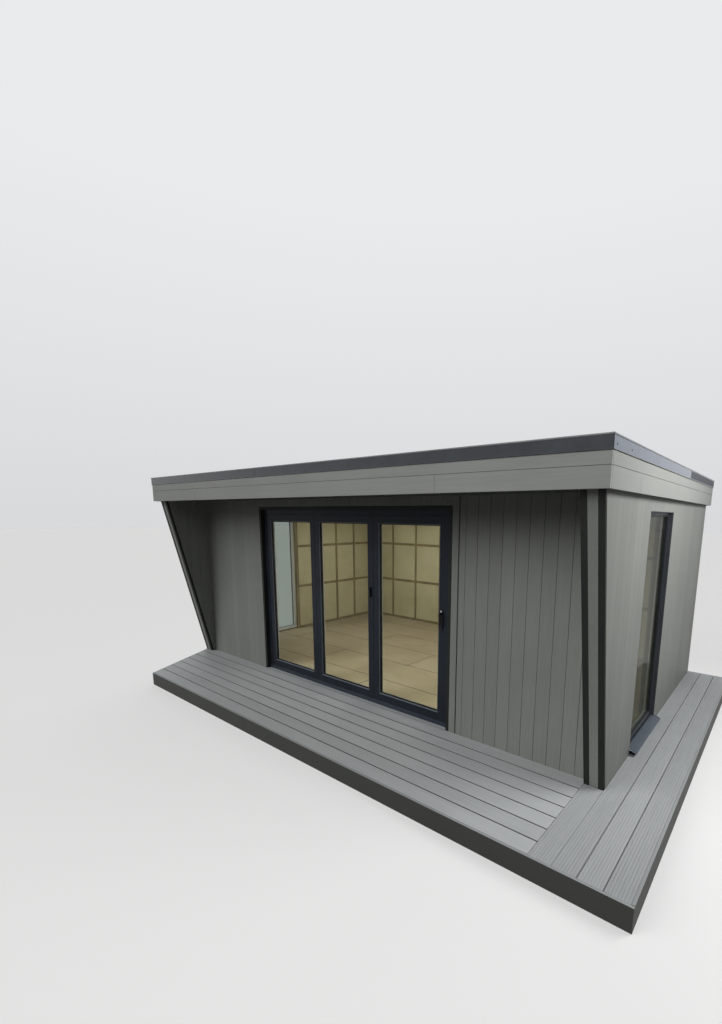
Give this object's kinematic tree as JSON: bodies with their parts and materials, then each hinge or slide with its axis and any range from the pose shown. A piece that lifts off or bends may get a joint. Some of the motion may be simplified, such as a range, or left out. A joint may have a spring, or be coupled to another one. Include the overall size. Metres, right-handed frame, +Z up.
{
  "type": "garden office pod",
  "caption": "Flat-roofed garden office pod with grey board cladding, a folding glass door between raked side wings, tall side windows and a deck round two sides",
  "frame": {"origin": "on the ground, in the middle of the room's plan, on the underside of the base frame", "axes": "+X runs to the right along the front, +Y runs to the back wall and +Z is up; the folding door faces -Y"},
  "size_m": [6.48, 4.658, 2.672],
  "materials": {
    "cladding": "vertical boards of wood and plastic composite, brushed warm grey, matte",
    "wall_panel": "bare tan sheet between the studs, seen from inside",
    "fascia": "flat composite boards, fine grained warm grey, matte",
    "soffit": "dark grey boards under the front overhang",
    "dark_trim": "near black folded trim, satin",
    "roof_trim": "dark grey coated edge trim, satin with pale highlights",
    "roof_membrane": "black rubber sheet with lapped seams, dusty",
    "frame_metal": "blue grey powder coat, fine satin",
    "glazing": "clear sealed double glazing",
    "handle_metal": "black satin lever set",
    "sill_metal": "blue grey folded sill, satin",
    "stud_timber": "sawn softwood studs and noggins",
    "floor_panel": "bare pressed board panels with joints",
    "treated_timber": "treated sawn timber",
    "deck_board": "composite deck board, light grey, lengthwise grooves and fine grain",
    "deck_edge": "composite edge board, dark grey face"
  },
  "bodies": {
    "root": {"base_frame": "treated_timber", "floor_boards": "floor_panel", "front_wall_left": "cladding", "front_wall_right": "cladding", "front_wall_header": "cladding", "back_wall": "cladding", "left_wall_front": "cladding", "left_wall_back": "cladding", "right_wall_front": "cladding", "right_wall_back": "cladding", "left_wing": "cladding", "right_wing": "cladding", "left_wing_bars": "dark_trim", "right_wing_bars": "dark_trim", "roof_panel": "roof_membrane", "soffit_board": "soffit", "ceiling_board": "wall_panel", "fascia_front": "fascia", "fascia_left": "fascia", "fascia_right": "fascia", "fascia_back": "fascia", "roof_trim_front": "roof_trim", "roof_trim_left": "roof_trim", "roof_trim_right": "roof_trim", "roof_trim_back": "roof_trim", "door_liner": "dark_trim", "door_frame": "frame_metal", "door_threshold": "frame_metal", "door_panel_left": "frame_metal", "door_panel_middle": "frame_metal", "door_panel_right": "frame_metal", "door_glass": "glazing", "door_handles": "handle_metal", "window_frame_left": "frame_metal", "window_frame_right": "frame_metal", "window_glass": "glazing", "window_sills": "sill_metal", "studs_left": "stud_timber", "studs_right": "stud_timber", "studs_back": "stud_timber", "studs_front": "stud_timber", "deck_front_boards": "deck_board", "deck_side_boards": "deck_board", "deck_edges": "deck_edge", "deck_joists": "treated_timber"}
  },
  "joints": []
}
